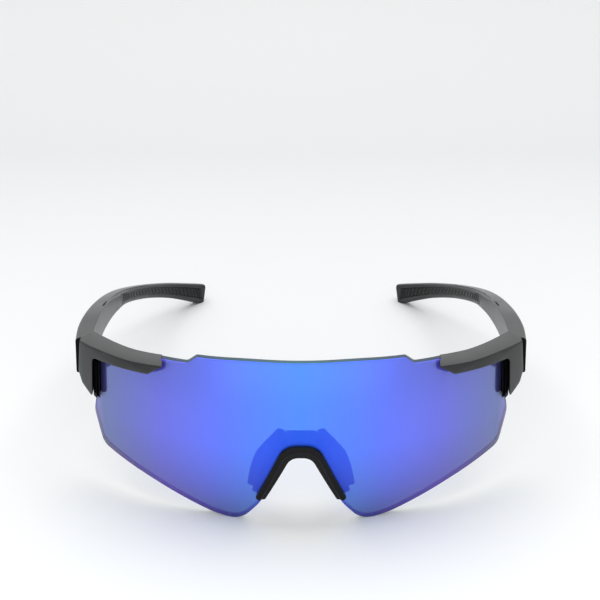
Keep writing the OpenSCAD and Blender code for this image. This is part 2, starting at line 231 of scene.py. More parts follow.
def math_node(nodes, links, operation, *values):
    node = nodes.new("ShaderNodeMath")
    node.operation = operation
    for socket, value in zip(node.inputs, values):
        feed(links, socket, value)
    return node.outputs[0]


def scaled(nodes, links, colour, factor):
    """A colour times a factor."""
    node = nodes.new("ShaderNodeVectorMath")
    node.operation = "SCALE"
    links.new(colour, node.inputs[0])
    feed(links, node.inputs["Scale"], factor)
    return node.outputs["Vector"]


def moulded_grain_group():
    group, start, end = new_group(
        "moulded_grain",
        [("Colour", "NodeSocketColor", (0.05, 0.05, 0.05, 1)), ("Grain size", "NodeSocketFloat", 2500.0),
         ("Roughness", "NodeSocketFloat", 0.4), ("Drift", "NodeSocketFloat", 0.08)],
        [("Colour", "NodeSocketColor"), ("Roughness", "NodeSocketFloat"), ("Height", "NodeSocketFloat")],
    )
    nodes, links = group.nodes, group.links
    where = nodes.new("ShaderNodeTexCoord")
    grain = nodes.new("ShaderNodeTexNoise")
    grain.inputs["Detail"].default_value = GRAIN_DETAIL
    cloud = nodes.new("ShaderNodeTexNoise")
    cloud.inputs["Scale"].default_value = CLOUD_SCALE
    cloud.inputs["Detail"].default_value = CLOUD_DETAIL
    links.new(where.outputs["Object"], grain.inputs["Vector"])
    links.new(where.outputs["Object"], cloud.inputs["Vector"])
    links.new(start.outputs["Grain size"], grain.inputs["Scale"])
    centred = math_node(nodes, links, "SUBTRACT", cloud.outputs["Fac"], 0.5)
    drift = math_node(nodes, links, "MULTIPLY_ADD",
                      centred, start.outputs["Drift"], start.outputs["Roughness"])
    brighter = math_node(nodes, links, "MULTIPLY_ADD", centred, CLOUD_DEPTH, 1.0)
    links.new(scaled(nodes, links, start.outputs["Colour"], brighter), end.inputs["Colour"])
    links.new(drift, end.inputs["Roughness"])
    links.new(grain.outputs["Fac"], end.inputs["Height"])
    return group


MOULDED_GRAIN = moulded_grain_group()
GRAIN_DEPTH = 0.04 * MM


def moulded(name, colour, roughness, drift=0.08, grain_size=2500.0, bump=0.15, gloss=0.5):
    """Moulded plastic or rubber, with the shared grain at its own size and strength."""
    material, nodes, links, shader = new_material(name)
    grain = nodes.new("ShaderNodeGroup")
    grain.node_tree = MOULDED_GRAIN
    grain.inputs["Colour"].default_value = (*colour, 1)
    grain.inputs["Grain size"].default_value = grain_size
    grain.inputs["Roughness"].default_value = roughness
    grain.inputs["Drift"].default_value = drift
    relief = nodes.new("ShaderNodeBump")
    relief.inputs["Strength"].default_value = bump
    relief.inputs["Distance"].default_value = GRAIN_DEPTH
    links.new(grain.outputs["Colour"], shader.inputs["Base Color"])
    links.new(grain.outputs["Roughness"], shader.inputs["Roughness"])
    links.new(grain.outputs["Height"], relief.inputs["Height"])
    links.new(relief.outputs["Normal"], shader.inputs["Normal"])
    shader.inputs["Specular IOR Level"].default_value = gloss
    return material


SATIN_CHARCOAL = moulded("satin_charcoal", (0.0105, 0.0105, 0.0115), 0.30, bump=0.2, gloss=0.6)
RETAINER_BLACK = moulded("retainer_black", (0.003, 0.003, 0.004), 0.20, drift=0.05, bump=0.04, gloss=0.15)
GLOSS_BLACK = moulded("gloss_black", (0.002, 0.002, 0.003), 0.16, drift=0.05, bump=0.05, gloss=0.18)
BRIDGE_SATIN = moulded("bridge_satin", (0.004, 0.004, 0.005), 0.3, bump=0.1, gloss=0.2)
CARRIER_PLASTIC = moulded("carrier_plastic", (0.006, 0.006, 0.008), 0.45, gloss=0.3)
TIP_RUBBER = moulded("tip_rubber", (0.013, 0.013, 0.014), 0.34, grain_size=3500.0, bump=0.25, gloss=0.5)
GRIP_RUBBER = moulded("grip_rubber", (0.010, 0.010, 0.011), 0.42, grain_size=3500.0, bump=0.3, gloss=0.35)
PAD_SILICONE = moulded("pad_silicone", (0.009, 0.009, 0.011), 0.50, grain_size=1800.0, bump=0.15, gloss=0.3)
print("moulded finishes made")

# %% [markdown]
# ## Lens finish
# The lens is tinted plastic with a thin mirror coat on its outer face. Its colour is painted to run from
# bright blue in the middle through violet to a greyer blue at the sides, and it darkens towards the lower
# lobes: a painted reflection, which stands for the colour shift that the coat shows as its face turns
# oblique to the view. A colour ramp across the face does this, with a second one down it.
# The coat lets some light through, so its Alpha is below one. The inner face
# is a clear filter, which carries the tint. The cut edge gets little coat, so
# it's nearly dark.

# %% Lens finishes
LENS_OUTER = 88
LENS_INNER = 86
LENS_CENTRE = Vector((0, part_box("lens")[0].y + LENS_OUTER * MM, 18 * MM))
LENS_HALF_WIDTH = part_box("lens")[1].x
LENS_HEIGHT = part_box("lens")[1].z


def masks(nodes, links):
    """How far to the side, and how high up, a point of the lens is, both from 0 to 1."""
    axes = object_axes(nodes, links)
    across = math_node(nodes, links, "ABSOLUTE", axes["X"])
    aside = math_node(nodes, links, "DIVIDE", across, LENS_HALF_WIDTH)
    height = math_node(nodes, links, "DIVIDE", axes["Z"], LENS_HEIGHT)
    return aside, height


def product(nodes, links, a, b):
    tint = nodes.new("ShaderNodeMix")
    tint.data_type = "RGBA"
    tint.blend_type = "MULTIPLY"
    tint.inputs["Factor"].default_value = 1.0
    links.new(a, tint.inputs["A"])
    links.new(b, tint.inputs["B"])
    return tint.outputs["Result"]


def mirror_coat(name, strength):
    """The interference coat, blue in the middle and violet to grey at the sides: a painted reflection of
    its shift with angle.
    """
    material, nodes, links, shader = new_material(name)
    aside, height = masks(nodes, links)
    # Painted reflection: the coat's blue shifts to violet and grey towards the sides, where the face turns
    # oblique to the view.
    coat_hue_with_painted_shift = ramp_node(nodes, [
        (0.0, (0.028, 0.122, 1.0)), (0.22, (0.055, 0.125, 1.0)), (0.42, (0.098, 0.118, 0.96)),
        (0.65, (0.132, 0.118, 0.76)), (0.85, (0.110, 0.100, 0.46)), (0.95, (0.085, 0.088, 0.29)),
        (1.0, (0.20, 0.15, 0.42)),
    ])
    links.new(aside, coat_hue_with_painted_shift.inputs["Fac"])
    # Painted reflection: darker towards the lower lobes, which turn away from the view.
    painted_lobe_shift = ramp_node(nodes, [
        (0.0, (1.0, 0.55, 0.34)), (0.06, (1.0, 0.60, 0.44)), (0.19, (1.0, 0.76, 0.66)),
        (0.32, (1.0, 0.88, 0.82)), (0.50, (1.0, 1.0, 1.0)),
    ])
    links.new(height, painted_lobe_shift.inputs["Fac"])
    shaded = product(nodes, links, coat_hue_with_painted_shift.outputs["Color"], painted_lobe_shift.outputs["Color"])
    links.new(scaled(nodes, links, shaded, strength), shader.inputs["Base Color"])
    cover = ramp_node(nodes, [
        (0.0, (0.78, 0.78, 0.78)), (0.40, (0.85, 0.85, 0.85)), (0.65, (0.85, 0.85, 0.85)),
        (0.85, (0.75, 0.75, 0.75)), (1.0, (0.62, 0.62, 0.62)),
    ])
    links.new(aside, cover.inputs["Fac"])
    links.new(cover.outputs["Color"], shader.inputs["Alpha"])
    shader.inputs["Metallic"].default_value = 0.6
    shader.inputs["Roughness"].default_value = 0.32
    shader.inputs["Specular IOR Level"].default_value = 0.1
    return material


def tinted_plastic():
    """The lens's own plastic, seen at its inner face, as a clear filter."""
    material, nodes, links, shader = new_material("tinted_plastic")
    aside, _ = masks(nodes, links)
    tint = ramp_node(nodes, [
        (0.0, (0.15, 0.88, 0.90)), (0.5, (0.24, 0.56, 0.81)), (1.0, (0.17, 0.27, 0.72)),
    ])
    links.new(aside, tint.inputs["Fac"])
    links.new(tint.outputs["Color"], shader.inputs["Base Color"])
    shader.inputs["Transmission Weight"].default_value = 1
    shader.inputs["Roughness"].default_value = 0
    shader.inputs["IOR"].default_value = 1.01
    return material


def lens_rim():
    """The inner edge of the rim: dark blue at the bottom, olive grey along the top."""
    material, nodes, links, shader = new_material("lens_rim")
    _, height = masks(nodes, links)
    tone = ramp_node(nodes, [
        (0.0, (0.010, 0.020, 0.075)), (0.55, (0.02, 0.03, 0.08)), (0.8, (0.13, 0.14, 0.10)),
    ])
    links.new(height, tone.inputs["Fac"])
    links.new(tone.outputs["Color"], shader.inputs["Base Color"])
    shader.inputs["Roughness"].default_value = 0.3
    shader.inputs["Alpha"].default_value = 0.9
    return material


MIRROR_COAT = mirror_coat("mirror_coat", 1.02)
EDGE_COAT = mirror_coat("edge_coat", 0.03)
TINTED_PLASTIC = tinted_plastic()
LENS_RIM = lens_rim()
print("lens finishes made")

# %% [markdown]
# ## Outlines
# Each piece of the front is designed flat, as an outline in front view. A
# corner is its place and the radius of its round, in millimetres. A helper
# swaps each corner for the points of its arc. The other half is a mirror.

# %% Outline helpers


def corner_arc(before, corner, after, radius, steps):
    if radius == 0:
        return [corner.copy()]
    u = (before - corner).normalized()
    v = (after - corner).normalized()
    half = acos(max(-1, min(1, u.dot(v)))) / 2
    start = corner + u * radius / tan(half)
    stop = corner + v * radius / tan(half)
    centre = corner + (u + v).normalized() * radius / sin(half)
    begin = atan2(start.y - centre.y, start.x - centre.x)
    turn = atan2(stop.y - centre.y, stop.x - centre.x) - begin
    turn = (turn + pi) % (2 * pi) - pi
    angles = [begin + turn * i / steps for i in range(steps + 1)]
    return [centre + radius * Vector((cos(a), sin(a))) for a in angles]


def rounded(corners, steps=6):
    places = [Vector(c[:2]) for c in corners]
    count = len(corners)
    points = []
    for i, corner in enumerate(corners):
        points += corner_arc(places[i - 1], places[i], places[(i + 1) % count], corner[2], steps)
    return points


def mirrored(corners):
    return [(-x, z, r) for x, z, r in reversed(corners)]


rounded_square = rounded([(0, 0, 1), (4, 0, 1), (4, 4, 1), (0, 4, 1)])
print("a square with rounded corners has", len(rounded_square), "points")

# %% [markdown]
# ## From a flat outline to a curved shell
# The lens, brackets, retainers and nose bridge all follow one sphere. Rather
# than carve a sphere, each piece is made flat: its outline becomes a face,
# which is extruded, and its edges are bevelled while they are still straight.
# Then planes slice it into a fine grid, and each point moves back to its own
# sphere. In the flat stage, Y holds minus the radius that a point will have.

# %% Flat piece helpers
GRID_STEP = 1.5 * MM
CUT_TOLERANCE = 1e-7
MERGE_DISTANCE = 1e-6


def prism(points, move):
    """A face through these points, extruded by a straight move."""
    bm = bmesh.new()
    face = bm.faces.new([bm.verts.new(p) for p in points])
    made = bmesh.ops.extrude_face_region(bm, geom=[face])
    moved = [g for g in made["geom"] if isinstance(g, bmesh.types.BMVert)]
    bmesh.ops.translate(bm, verts=moved, vec=move)
    bmesh.ops.recalc_face_normals(bm, faces=bm.faces)
    return bm


def flat_plate(outline, inner_radius, outer_radius):
    """A prism in the flat stage, from an outline and two radii, all in millimetres."""
    points = [(p.x * MM, -outer_radius * MM, p.y * MM) for p in outline]
    return prism(points, (0, (outer_radius - inner_radius) * MM, 0))


def boolean(bm, cutter, operation):
    """Joins or cuts one bmesh with another, and frees both."""
    base = link_mesh(bm, "base")
    tool = link_mesh(cutter, "tool")
    modifier = base.modifiers.new("boolean", "BOOLEAN")
    modifier.operation = operation
    modifier.solver = "EXACT"
    modifier.object = tool
    bpy.context.view_layer.update()
    result = bmesh.new()
    result.from_object(base, bpy.context.evaluated_depsgraph_get())
    for obj in (base, tool):
        mesh = obj.data
        bpy.data.objects.remove(obj)
        bpy.data.meshes.remove(mesh)
    bmesh.ops.remove_doubles(result, verts=result.verts, dist=MERGE_DISTANCE)
    return result


def join(bm, other):
    """Adds a closed shell to a bmesh, as a shell of its own."""
    mesh = bpy.data.meshes.new("part")
    other.to_mesh(mesh)
    other.free()
    bm.from_mesh(mesh)
    bpy.data.meshes.remove(mesh)
    return bm


def sharp_edges(bm, angle=35):
    return [e for e in bm.edges if len(e.link_faces) == 2 and e.calc_face_angle(0) > radians(angle)]


def soften(bm, width, segments=3, edges=None):
    bmesh.ops.bevel(bm, geom=edges or sharp_edges(bm), offset=width * MM, offset_type="OFFSET",
                    segments=segments, profile=0.5, affect="EDGES", clamp_overlap=True, material=-1)
    return bm


def slice_grid(bm, step=GRID_STEP):
    xs = [v.co.x for v in bm.verts]
    zs = [v.co.z for v in bm.verts]
    for axis, low, high in ((0, min(xs), max(xs)), (2, min(zs), max(zs))):
        normal = Vector((1, 0, 0)) if axis == 0 else Vector((0, 0, 1))
        for i in range(1, ceil((high - low) / step)):
            bmesh.ops.bisect_plane(bm, geom=bm.verts[:] + bm.edges[:] + bm.faces[:], dist=CUT_TOLERANCE,
                                   plane_co=normal * (low + i * step), plane_no=normal)
    return bm


def wrap(bm):
    """Moves each point from the flat stage to the sphere of its radius."""
    for v in bm.verts:
        radius = -v.co.y
        up = v.co.z - LENS_CENTRE.z
        v.co.y = LENS_CENTRE.y - sqrt(max(radius * radius - v.co.x * v.co.x - up * up, 0))
    return bm


def finished(bm, name, body, materials, replaced, angle=32):
    """Turns a bmesh into a piece that rides a body."""
    bmesh.ops.remove_doubles(bm, verts=bm.verts, dist=2 * MERGE_DISTANCE)
    bmesh.ops.recalc_face_normals(bm, faces=bm.faces)
    open_edges = sum(1 for e in bm.edges if len(e.link_faces) != 2)
    faces = len(bm.faces)
    for face in bm.faces:
        face.smooth = True
    obj = link_mesh(bm, name)
    obj.data.set_sharp_from_angle(angle=radians(angle))
    for material in materials:
        obj.data.materials.append(material)
    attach(obj, body)
    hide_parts(replaced)
    print(f"{name}: {faces} faces, {open_edges} open edges, rides {body}")
    return obj


def flip_side(bm):
    bmesh.ops.scale(bm, verts=bm.verts, vec=(-1, 1, 1))
    bmesh.ops.recalc_face_normals(bm, faces=bm.faces)
    return bm


SIDES = (("left", False), ("right", True))
print("grid step:", GRID_STEP / MM, "mm")

# %% [markdown]
# ## Lens
# A shield lens is cut from a moulded sphere: one outline, two parallel faces
# and a slightly rounded rim. The notches near its ends key it into the
# brackets, and the arch takes the nose bridge. The coat covers the outer face
# and its bevel, and thins out over the rim. The inner face is bare plastic.

# %% Lens
LENS_SIDE = 63.2
LEG_INNER = 65.4
LENS_HALF = [
    (16, 52.65, 150), (31.4, 51.6, 1.5), (34.2, 49.5, 2), (42.5, 48.8, 0.3), (42.7, 47.1, 0.3),
    (52, 45.8, 60), (LENS_SIDE, 44.7, 1.2), (LENS_SIDE, 29.2, 0.3), (64.5, 29.1, 0.3), (64.6, 27.5, 0.2),
    (65.2, 27.2, 0.3), (65.7, 24.0, 5), (63.0, 13.4, 3.5), (46, 8.0, 90), (27.5, 1.0, 14),
    (22.5, 0, 3), (18.4, 0, 7), (12.6, 7.2, 22), (4.05, 25.4, 4.4),
]
LENS_BEVEL = 0.22
LENS_FINISHES = [MIRROR_COAT, TINTED_PLASTIC, LENS_RIM, EDGE_COAT]
BACK_ON = 0.99
EDGE_ON = 0.1


def lens_finish(face):
    """The finish that a face of the flat lens takes."""
    if face.normal.y > BACK_ON:
        return TINTED_PLASTIC
    if -face.calc_center_median().y < (LENS_INNER + LENS_BEVEL) * MM:
        return LENS_RIM
    return EDGE_COAT if abs(face.normal.y) < EDGE_ON else MIRROR_COAT


def make_lens():
    bm = flat_plate(rounded(LENS_HALF + mirrored(LENS_HALF), 10), LENS_INNER, LENS_OUTER)
    soften(bm, LENS_BEVEL, segments=2)
    for face in bm.faces:
        face.material_index = LENS_FINISHES.index(lens_finish(face))
    wrap(slice_grid(bm))
    return finished(bm, "shield_lens", "front", LENS_FINISHES, "lens")


make_lens()

# %% [markdown]
# ## Hinge frame
# Each temple turns on a screw that leans back by 12 degrees. Brackets and
# temples are easiest to describe from that screw, so its frame is a matrix.
# The two parts meet in a plane along the screw, and each is cut there with
# half of the gap.

# %% Hinge frame and joint plane
ORIGIN_BACK = 79.78
HINGE_PLACE = Vector((64, 42 - ORIGIN_BACK, 41))
HINGE_TILT = radians(12)
JOINT_ANGLE = radians(51.2)
JOINT_DISTANCE = 1.02
HALF_JOINT_GAP = 0.1
SCALE_MM = Matrix.Diagonal((MM, MM, MM, 1))
HINGE = SCALE_MM @ Matrix.Translation(HINGE_PLACE) @ Matrix.Rotation(-HINGE_TILT, 4, "X")
EAR_RADIUS = 2.6
EAR_BEVEL = 0.2
EAR_LOW = (-7.1, -5.0)
EAR_HIGH = (-1.4, 1.0)
TONGUE = (-4.94, -1.46)
TONGUE_RADIUS = EAR_RADIUS - 0.15
RELIEF_RADIUS = EAR_RADIUS + 0.3
RELIEF_BELOW = (EAR_LOW[0] - 3, TONGUE[0])
RELIEF_ABOVE = (TONGUE[1], EAR_HIGH[1] + 0.3)
DISC_SEGMENTS = 56


def keep_side(bm, place, normal, keep_behind):
    """Cuts a bmesh by a plane, keeps one side and closes the cut."""
    made = bmesh.ops.bisect_plane(bm, geom=bm.verts[:] + bm.edges[:] + bm.faces[:], dist=CUT_TOLERANCE,
                                  plane_co=place, plane_no=normal,
                                  clear_inner=not keep_behind, clear_outer=keep_behind)
    edges = [g for g in made["geom_cut"] if isinstance(g, bmesh.types.BMEdge)]
    bmesh.ops.triangle_fill(bm, use_beauty=True, edges=[e for e in edges if len(e.link_faces) == 1])
    return bm


def cut_at_joint(bm, is_bracket, gap=HALF_JOINT_GAP):
    outward = Vector((cos(JOINT_ANGLE), sin(JOINT_ANGLE), 0))
    distance = JOINT_DISTANCE + (-gap if is_bracket else gap)
    return keep_side(bm, HINGE @ (outward * distance), HINGE.to_3x3().normalized() @ outward, is_bracket)


def hinge_disc(radius, heights, bevel=0.0):
    bm = bmesh.new()
    place = HINGE @ Matrix.Translation((0, 0, sum(heights) / 2))
    bmesh.ops.create_cone(bm, cap_ends=True, segments=DISC_SEGMENTS, radius1=radius, radius2=radius,
                          depth=heights[1] - heights[0])
    if bevel:
        soften(bm, bevel / MM, segments=2)
    bmesh.ops.transform(bm, matrix=place, verts=bm.verts)
    return bm


def in_hinge_frame(bm):
    bmesh.ops.transform(bm, matrix=HINGE, verts=bm.verts)
    return bm


def hinge_slab(corners, heights):
    points = [(x, y, heights[0]) for x, y in corners]
    return in_hinge_frame(prism(points, (0, 0, heights[1] - heights[0])))


print("hinge at", tuple(round(c, 4) for c in HINGE.translation))

# %% [markdown]
# ## Brackets
# A bracket is one moulding: a brow that overlaps the lens's top corner, and a
# leg down the side. On the real part the mould gives flat facets with crisp,
# barely broken edges. A Boolean takes out the pocket for the lens from behind,
# and two ears hold the hinge screw.

# %% Brackets
BRACKET_OUTLINE = [
    (41.4, 48.6, 0.2), (52, 47.0, 70), (62, 46.1, 40), (70.3, 44.9, 0.6), (70.6, 35.8, 0.6),
    (69.4, 33.0, 1.5), (65.6, 30.4, 0.5), (LEG_INNER, 42.6, 1.6), (57.2, 43.6, 80), (46.6, 44.9, 0.8),
]
POCKET_OUTLINE = [
    (40, 50, 0), (42.3, 50, 0), (42.5, 47.25, 0), (52, 45.9, 60), (63.2, 44.9, 1), (LEG_INNER, 44.4, 0.3),
    (LEG_INNER, 25, 0), (40, 25, 0),
]
BRACKET_RADII = (85, 91)
BRACKET_BEVEL = 0.3
POCKET_RADII = (80, 88.05)
EAR_WEB = [(-2.4, -1.0), (0, -2.6), (1.5, -2.6), (1.5, -6.0), (3.6, -6.0), (3.6, -1.8), (0.58, 0.7)]


def make_bracket(side, flip):
    bm = soften(flat_plate(rounded(BRACKET_OUTLINE), *BRACKET_RADII), BRACKET_BEVEL)
    bm = boolean(bm, flat_plate(rounded(POCKET_OUTLINE), *POCKET_RADII), "DIFFERENCE")
    wrap(slice_grid(bm))
    cut_at_joint(bm, True)
    bm = boolean(bm, hinge_disc(RELIEF_RADIUS, (EAR_LOW[1], EAR_HIGH[0])), "DIFFERENCE")
    for heights in (EAR_LOW, EAR_HIGH):
        join(bm, hinge_disc(EAR_RADIUS, heights, EAR_BEVEL))
        join(bm, hinge_slab(EAR_WEB, heights))
    if flip:
        flip_side(bm)
    return finished(bm, "bracket_shell_" + side, "front", [SATIN_CHARCOAL],
                    "bracket_" + side)


for side, flip in SIDES:
    make_bracket(side, flip)

# %% [markdown]
# ## Retainers
# A black insert clamps the lens's corner from behind. Its flange shows purple
# through the lens, and its upright wall fills the slit between the lens's
# cut-back edge and the bracket's leg. That black wall is partly the insert and
# partly painted shade: it stands for the shadow in the slit and on the leg's
# inner side. The wall is moulded as two ridges with a groove between them, so
# it's two bevelled bars on the flange.

# %% Retainers
RETAINER_OUTLINE = [
    (41.4, 47.2, 0.7), (52, 45.6, 60), (63, 44.6, 1), (LEG_INNER, 44.3, 0.3), (LEG_INNER, 34.3, 0),
    (68.0, 34.3, 0.5), (68.0, 32.5, 0.8), (LEG_INNER, 30.3, 0.6), (63.2, 29.5, 1.0), (61.6, 30.2, 1.0),
    (61.6, 42.0, 1.5), (52, 42.6, 60), (44.8, 43.2, 1.2), (41.2, 45.2, 1.3),
]
FLANGE_RADII = (84.35, 85.95)
FLANGE_BEVEL = 0.2
WALL_BACK = 84.85
WALL_BEVEL = 0.25
WALL_BARS = (
    ([(63.3, 41.6, 0.3), (63.3, 29.9, 0.3), (64.3, 30.2, 0.3), (64.3, 41.6, 0.3)], 89.2),
    ([(64.2, 41.4, 0.3), (64.2, 29.7, 0.2), (65.42, 30.3, 0.2), (65.35, 41.4, 0.3)], 89.8),
)
EAR_ROOM_RADIUS = EAR_RADIUS + 0.5
EAR_ROOM = (EAR_LOW[0] - 0.4, EAR_HIGH[1] + 0.4)


def make_retainer(side, flip):
    shells = [soften(flat_plate(rounded(RETAINER_OUTLINE), *FLANGE_RADII), FLANGE_BEVEL, segments=2)]
    # The black wall bars stand partly for painted shade in the slit by the bracket's leg.
    for corners, front in WALL_BARS:
        shells.append(soften(flat_plate(rounded(corners, 3), WALL_BACK, front), WALL_BEVEL))
    bm = bmesh.new()
    for shell in shells:
        wrap(slice_grid(shell))
        cut_at_joint(shell, True, 2 * HALF_JOINT_GAP)
        join(bm, boolean(shell, hinge_disc(EAR_ROOM_RADIUS, EAR_ROOM), "DIFFERENCE"))
    if flip:
        flip_side(bm)
    return finished(bm, "retainer_" + side, "front", [RETAINER_BLACK],
                    "lens_retainer_" + side)


for side, flip in SIDES:
    make_retainer(side, flip)

# %% [markdown]
# ## Temples
# A temple is a bar whose box section changes all the way back: deep at the
# hinge, slim in the middle and deep again at the tip. Ten stations set its
# path and section, a cubic blends them, and one face is extruded from ring to
# ring. A station is its place from the hinge screw (outwards, back and up), then
# the section's thickness and height. The upper inner edge is a crisp crease,
# which is rounded off past the short slot that ends it.

# %% Path and section of a temple
ARM_STATIONS = [
    (7.4, -7.0, 3.0, 5.2, 11.4), (8.7, 8, 4.0, 5.7, 10.9), (8.5, 22, 4.8, 5.5, 8.9),
    (7.7, 38, 4.4, 5.2, 7.5), (6.2, 55, 3.2, 4.9, 6.2), (3.5, 73, 0.9, 4.1, 5.3),
    (-2.5, 91, -1.9, 3.6, 5.2), (-10.4, 107, -5.0, 3.2, 6.0), (-19.2, 119, -8.0, 3.0, 7.5),
    (-23.6, 124, -9.4, 3.0, 8.7),
]
LAST_STATION = len(ARM_STATIONS) - 1
TIP_START = 6.0
THICKNESS = 3
HEIGHT = 4
END_LEAN = 0.02
LEAN_FROM = 7
HEADING_STEP = 0.05


def station_value(k, s):
    """Smooth value between the stations, by a Catmull-Rom cubic through them."""
    i = min(int(s), LAST_STATION - 1)
    t = s - i
    a = ARM_STATIONS[max(i - 1, 0)][k]
    b = ARM_STATIONS[i][k]
    c = ARM_STATIONS[i + 1][k]
    d = ARM_STATIONS[min(i + 2, LAST_STATION)][k]
    return b + 0.5 * t * (c - a + t * (2 * a - 5 * b + 4 * c - d + t * (3 * (b - c) + d - a)))


def arm_point(s):
    return Vector([station_value(k, s) for k in range(3)])


def arm_inward(s):
    """Towards the wearer's head, at right angles to the temple."""
    heading = arm_point(min(s + HEADING_STEP, LAST_STATION)) - arm_point(max(s - HEADING_STEP, 0))
    return Vector((-heading.y, heading.x, 0)).normalized()


def section_place(s, p):
    """Where a section's point lies in the hinge frame: in from the outer face and down from the top."""
    return arm_point(s) + arm_inward(s) * p.x - Vector((0, 0, p.y))


def place_on_arm(s, section):
    """A ring of the temple. Towards the tip, its lower points lean forward a little."""
    return [section_place(s - END_LEAN * max(s - LEAN_FROM, 0) * p.y, p) for p in section]


def sweep(rings):
    """One face, extruded from ring to ring."""
    bm = bmesh.new()
    top = bm.faces.new([bm.verts.new(p) for p in rings[0]])
    for i, ring in enumerate(rings[1:]):
        made = bmesh.ops.extrude_face_region(bm, geom=[top])
        if i > 0:
            bmesh.ops.delete(bm, geom=[top], context="FACES_ONLY")
        top = [g for g in made["geom"] if isinstance(g, bmesh.types.BMFace)][0]
        for vert, place in zip(top.verts, ring):
            vert.co = place
    bmesh.ops.recalc_face_normals(bm, faces=bm.faces)
    return bm


def spread(start, stop, count):
    return [start + (stop - start) * i / count for i in range(count + 1)]


print("temple length from the screw:", ARM_STATIONS[-1][1], "mm")

# %% [markdown]
# ## Temple bars
# The bar is swept as one closed shell with the slot already in its rings. It's
# then cut at the joint plane, cleared round the bracket's ears by two discs and
# pocketed for the grip. A tongue between the ears carries the screw.

# %% Temple bars
SLOT_FROM = 2.62
SLOT_TO = 3.12
SLOT_DEPTH = 1.1
SLOT_ACROSS = (1.3, 0.95, 0.6)
CORNER_ROUND = 0.8
CORNER_STEPS = 4
CREASE_END = 3.0
CREASE_ROUND = 0.16
SOFT_ROUND = 1.2
ROUND_GAIN = 1.1


def crease_round(s):
    return min(CREASE_ROUND + ROUND_GAIN * max(s - CREASE_END, 0), SOFT_ROUND)


def arm_section(s, inset=0.0):
    thick = station_value(THICKNESS, s)
    low = station_value(HEIGHT, s) - inset
    return rounded([
        (inset, inset, CORNER_ROUND), (thick - inset, inset, crease_round(s)),
        (thick - inset, low, CORNER_ROUND), (inset, low, CORNER_ROUND),
    ], CORNER_STEPS)


def slotted_section(s):
    """The temple's section, with the slot between its first corner and its crease."""
    points = arm_section(s)
    thick = station_value(THICKNESS, s)
    share = (s - SLOT_FROM) / (SLOT_TO - SLOT_FROM)
    depth = SLOT_DEPTH * max(0, sin(pi * share)) if 0 < share < 1 else 0
    groove = [Vector((thick - inward, down)) for inward, down in zip(SLOT_ACROSS, (0, depth, 0))]
    first_corner = CORNER_STEPS + 1
    return points[:first_corner] + groove + points[first_corner:]


TEMPLE_WEB = [(0, 0), (0.7, 0.87), (3.4, -1.3), (3.4, 4.6), (0, TONGUE_RADIUS)]
BAR_RINGS = 150
GRIP_RINGS = 60
GRIP_START = 4.35
GRIP_END = LAST_STATION - 0.55
GRIP_DEPTH = 1.0
GRIP_TOP = 0.6
GRIP_TOP_DROP = 0.25
GRIP_LOW = 0.95
GRIP_LOW_RISE = 0.22
POCKET_PROUD = 2
RIB_LEAN = 0.025


def grip_edges(s):
    """Top and bottom edge of the grip, down from the temple's top."""
    along = s - GRIP_START
    return GRIP_TOP + GRIP_TOP_DROP * along, station_value(HEIGHT, s) - GRIP_LOW - GRIP_LOW_RISE * along


def grip_ring(s, proud, depth=GRIP_DEPTH, margin=0.0, round_by=0.2):
    top, low = grip_edges(s)
    face = station_value(THICKNESS, s)
    middle = (top + low) / 2
    section = rounded([
        (face - depth, top + margin, round_by), (face + proud, top + margin, round_by),
        (face + proud, low - margin, round_by), (face - depth, low - margin, round_by),
    ], 3)
    return [section_place(s + RIB_LEAN * (p.y - middle), p) for p in section]


def grip_pocket():
    rings = [grip_ring(s, POCKET_PROUD) for s in spread(GRIP_START, GRIP_END, GRIP_RINGS)]
    return in_hinge_frame(sweep(rings))


def make_temple(side, flip):
    rings = [place_on_arm(s, slotted_section(s)) for s in spread(0, TIP_START, BAR_RINGS)]
    bm = in_hinge_frame(sweep(rings))
    cut_at_joint(bm, False)
    for heights in (RELIEF_BELOW, RELIEF_ABOVE):
        bm = boolean(bm, hinge_disc(RELIEF_RADIUS, heights), "DIFFERENCE")
    bm = boolean(bm, grip_pocket(), "DIFFERENCE")
    join(bm, hinge_disc(TONGUE_RADIUS, TONGUE, EAR_BEVEL))
    join(bm, hinge_slab(TEMPLE_WEB, TONGUE))
    if flip:
        flip_side(bm)
    return finished(bm, "temple_bar_" + side, "temple_" + side, [SATIN_CHARCOAL],
                    "temple_" + side, angle=26)


for side, flip in SIDES:
    make_temple(side, flip)

# %% [markdown]
# ## Soft tips
# The last part of each temple is overmoulded in softer plastic. It carries on
# the bar's section, so no step shows at the seam. Its end is rounded by a few
# shrinking rings, and a plane at ground level gives the flat that it rests on.

# %% Soft tips
SEAM_GAP = 0.004
TIP_RINGS = 60
END_ROUNDING = ((0.16, 0), (0.1, 0.08), (0.05, 0.25), (0.02, 0.42), (0, 0.6))


def make_tip(side, flip):
    places = spread(TIP_START + SEAM_GAP, LAST_STATION - END_ROUNDING[0][0], TIP_RINGS)
    rings = [place_on_arm(s, arm_section(s)) for s in places]
    rings += [place_on_arm(LAST_STATION - short, arm_section(LAST_STATION - short, inset))
              for short, inset in END_ROUNDING[1:]]
    bm = in_hinge_frame(sweep(rings))
    bm = boolean(bm, grip_pocket(), "DIFFERENCE")
    keep_side(bm, Vector((0, 0, 0)), Vector((0, 0, 1)), False)
    if flip:
        flip_side(bm)
    return finished(bm, "soft_tip_" + side, "temple_" + side, [TIP_RUBBER],
                    "temple_tip_" + side, angle=26)


for side, flip in SIDES:
    make_tip(side, flip)

# %% [markdown]
# ## Ribbed grips
# A rubber strip with slanted ribs is let into the inner face, where the temple
# touches the head. It's a smooth black rim with a ribbed field inside it. The
# field's rings rise and fall as a wave, which gives the rounded ribs of
# moulded rubber.

